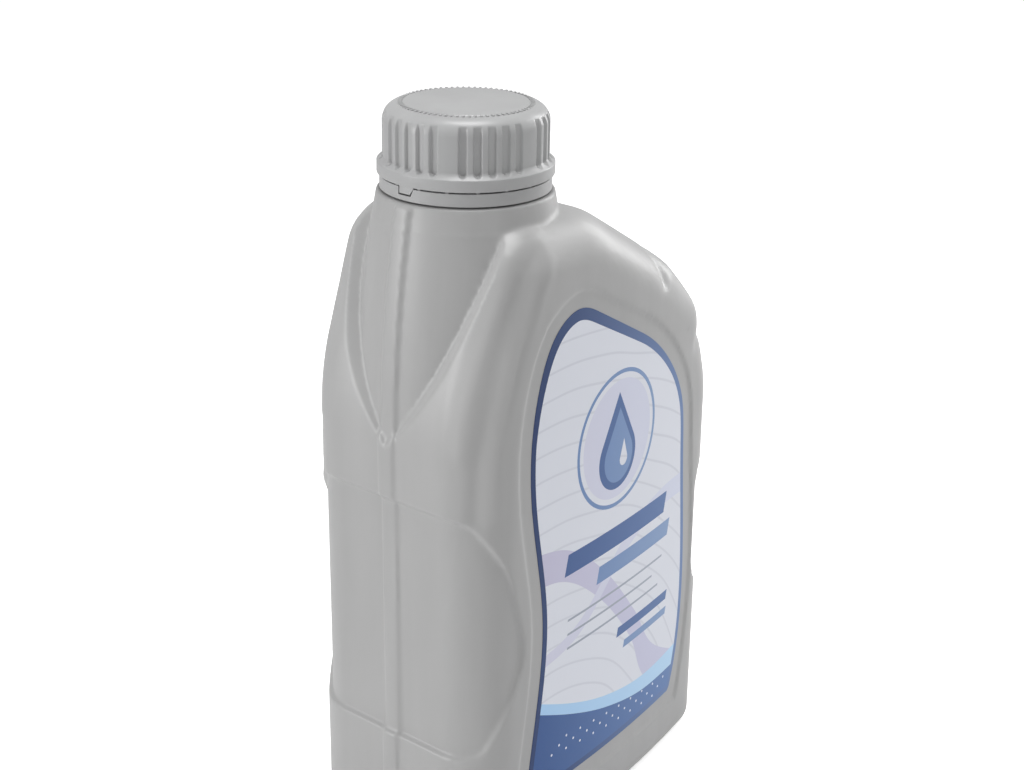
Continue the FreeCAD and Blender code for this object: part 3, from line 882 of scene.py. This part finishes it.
def filled_top(outline):
    """An anticlockwise outline whose upper part has no dip."""
    first = next(index for index, point in enumerate(outline)
                 if point[1] > LABEL_SHOULDER >= outline[index - 1][1])
    outline = outline[first:] + outline[:first]
    upper = [point for point in outline if point[1] > LABEL_SHOULDER]
    bulging = []
    for x, z in upper:
        while len(bulging) > 1:
            (x0, z0), (x1, z1) = bulging[-2:]
            if (x1 - x0) * (z - z0) - (z1 - z0) * (x - x0) > 0:
                break
            bulging.pop()
        bulging.append((x, z))
    return bulging + outline[len(upper):]


def inset_outline(outline, margin):
    """An anticlockwise outline moved inwards."""
    result = []
    for index, (x, z) in enumerate(outline):
        before = Vector(outline[index - 1])
        after = Vector(outline[(index + 1) % len(outline)])
        along = (after - before).normalized()
        result.append((x - along.y * margin, z + along.x * margin))
    return result


def field_outline(outline):
    """The pale field inside the label's border, which is wider along the top."""
    slim = inset_outline(outline, BORDER_WIDTH)
    wide = inset_outline(outline, BORDER_TOP)
    crest = max(z for x, z in outline)
    result = []
    for thin, thick in zip(slim, wide):
        share = min(1.0, max(0.0, 1 - (crest - thin[1]) / BORDER_FADE))
        result.append(tuple(Vector(thin).lerp(Vector(thick), share)))
    return result


def inside(points, outline):
    """Which of many points lie inside a closed outline."""
    x, z = points[:, 0], points[:, 1]
    result = np.zeros(len(points), dtype=bool)
    for (x0, z0), (x1, z1) in zip(outline[-1:] + outline[:-1], outline):
        if z0 == z1:
            continue
        crosses = (z0 > z) != (z1 > z)
        result ^= crosses & (x < (x1 - x0) * (z - z0) / (z1 - z0) + x0)
    return result


def curve_points(knots, count=24):
    """Points along a smooth curve through a few knots."""
    knots = [Vector(knot) for knot in knots]
    knots = [knots[0] * 2 - knots[1]] + knots + [knots[-1] * 2 - knots[-2]]
    result = []
    for index in range(1, len(knots) - 2):
        a, b, c, d = knots[index - 1:index + 3]
        for step in range(count):
            t = step / count
            point = (b * 2 + (c - a) * t + (a * 2 - b * 5 + c * 4 - d) * t ** 2
                     + (b * 3 - a - c * 3 + d) * t ** 3) / 2
            result.append(tuple(point))
    result.append(tuple(knots[-2]))
    return result


def arc(x, z, radius, angles):
    """Points on a circle at the given angles."""
    return [(x + radius * math.cos(angle), z + radius * math.sin(angle)) for angle in angles]


def circle(x, z, radius, count):
    """A closed ring of points."""
    return arc(x, z, radius, [2 * math.pi * step / count for step in range(count)])


def oil_drop(x, z, radius, tall):
    """A drop with a round foot and a pointed top."""
    start = math.asin(radius / tall)
    angles = np.linspace(start, -math.pi - start, DROP_CORNERS)
    return arc(x, z, radius, angles) + [(x, z + tall)]


def cut_fine(shape):
    """A closed shape with its long edges cut to the label's step, so that each follows the bow."""
    result = []
    for start, end in zip(shape, shape[1:] + shape[:1]):
        start, end = Vector(start), Vector(end)
        pieces = max(1, math.ceil((end - start).length / LABEL_STEP))
        result += [tuple(start.lerp(end, piece / pieces)) for piece in range(pieces)]
    return result


def leaning_bar(x, z, width, height):
    """A plain bar with leaning ends."""
    lean = BAR_LEAN * height
    return [(x, z), (x + width, z), (x + width + lean, z + height), (x + lean, z + height)]


def foot_dots():
    """The middles of the small dots, row by row."""
    for row in range(DOT_ROWS):
        for column in range(DOT_COLUMNS):
            x = DOT_LEFT + column * DOT_PITCH + row * DOT_PITCH / 2
            yield x, DOT_BASE + row * DOT_ROW_RISE + DOT_SLOPE * (DOT_RIGHT - x)


def label_design(outline):
    """The printed shapes from the lowest layer up, each with its ink's name."""
    layers = [("field", field_outline(outline))]
    for ink, upper, lower in SWEEPS:
        layers.append((ink, curve_points(upper) + curve_points(lower)[::-1]))
    for ink, radius in RINGS:
        layers.append((ink, circle(*RING_MIDDLE, radius, RING_CORNERS)))
    for ink, *sizes in DROPS:
        layers.append((ink, oil_drop(*sizes)))
    for ink, *sizes in BARS:
        layers.append((ink, leaning_bar(*sizes)))
    for x, z in foot_dots():
        layers.append(("white", circle(x, z, DOT_RADIUS, DOT_CORNERS)))
    return layers


def cut_film(outline, layers):
    """The label's flat vertices and triangles, cut along its outline and every printed line."""
    points, edges = [], []
    for shape in [outline] + [cut_fine(shape) for ink, shape in layers]:
        start = len(points)
        points += [Vector(point) for point in shape]
        edges += [(start + index, start + (index + 1) % len(shape)) for index in range(len(shape))]
    corner = np.array(outline)
    low, high = corner.min(axis=0), corner.max(axis=0)
    for x in np.arange(low[0], high[0], LABEL_STEP):
        for z in np.arange(low[1], high[1], LABEL_STEP):
            points.append(Vector((x, z)))
    flat, _, triangles, *_ = delaunay_2d_cdt(points, edges, [], 0, CUT_TOLERANCE)
    return flat, triangles


def choose_inks(flat, triangles, outline, layers, names):
    """Each triangle's ink by its place in the names, or -1 outside the label."""
    middles = np.array([sum((flat[index] for index in face), Vector((0, 0))) / 3
                        for face in triangles])
    edge = names.index("navy_edge")
    chosen = np.full(len(triangles), edge)
    for ink, shape in layers:
        chosen[inside(middles, shape)] = names.index(ink)
    chosen[~inside(middles, field_outline(outline))] = edge
    chosen[~inside(middles, outline)] = -1
    return chosen


def make_label(inks):
    """The front label: one printed film on the bowed panel."""
    outline = even_outline(filled_top(even_outline(label_edge(), OUTLINE_STEP)), OUTLINE_STEP)
    layers = label_design(outline)
    flat, triangles = cut_film(outline, layers)
    chosen = choose_inks(flat, triangles, outline, layers, list(inks))
    mesh = bmesh.new()
    made = {}
    for face, ink in zip(triangles, chosen):
        if ink < 0:
            continue
        for index in face:
            if index not in made:
                place = label_surface(flat[index].x * MM, flat[index].y * MM)
                made[index] = mesh.verts.new(place)
        mesh.faces.new([made[index] for index in face]).material_index = int(ink)
    mesh.normal_update()
    for face in mesh.faces:
        if face.normal.y > 0:
            face.normal_flip()
    film = link_mesh("label_film", store_mesh("label_film", mesh))
    for ink in inks.values():
        film.data.materials.append(ink)
    thick = film.modifiers.new("film", "SOLIDIFY")
    thick.thickness = LABEL_FILM
    thick.offset = -1
    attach(film, "bottle")
    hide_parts("front_label")


make_camera()
make_world()
make_floor()
make_lights()

bottle_grey = pearl_plastic("bottle_grey", "a2a2a2", "a9a9a9", roughness=0.40)
cap_grey = pearl_plastic("cap_grey", "a3a3a4", "abacac", roughness=0.36)
white_foam = plain_finish("white_foam", "dcdcd8", "e8e8e4",
                          roughness=0.8, scale=900.0, relief=0.06 * MM)
amber_oil = plain_finish("amber_oil", "b5701c", "c98427",
                         roughness=0.08, scale=30.0, relief=0.02 * MM)

make_bottle(bottle_grey)
helix_ridge("neck_thread", NECK_RADIUS, 1, THREAD_START, NECK_THREAD_TURNS, bottle_grey,
            "bottle")
make_cap(cap_grey)
make_ticks(cap_grey)
make_tab(cap_grey)
make_band(cap_grey)
make_wad(white_foam)
helix_ridge("cap_thread", CAP_BORE * MM, -1, THREAD_START + THREAD_PITCH / 2, CAP_THREAD_TURNS,
            cap_grey, "cap")
set_material(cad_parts["oil"], amber_oil)
make_label(label_inks())
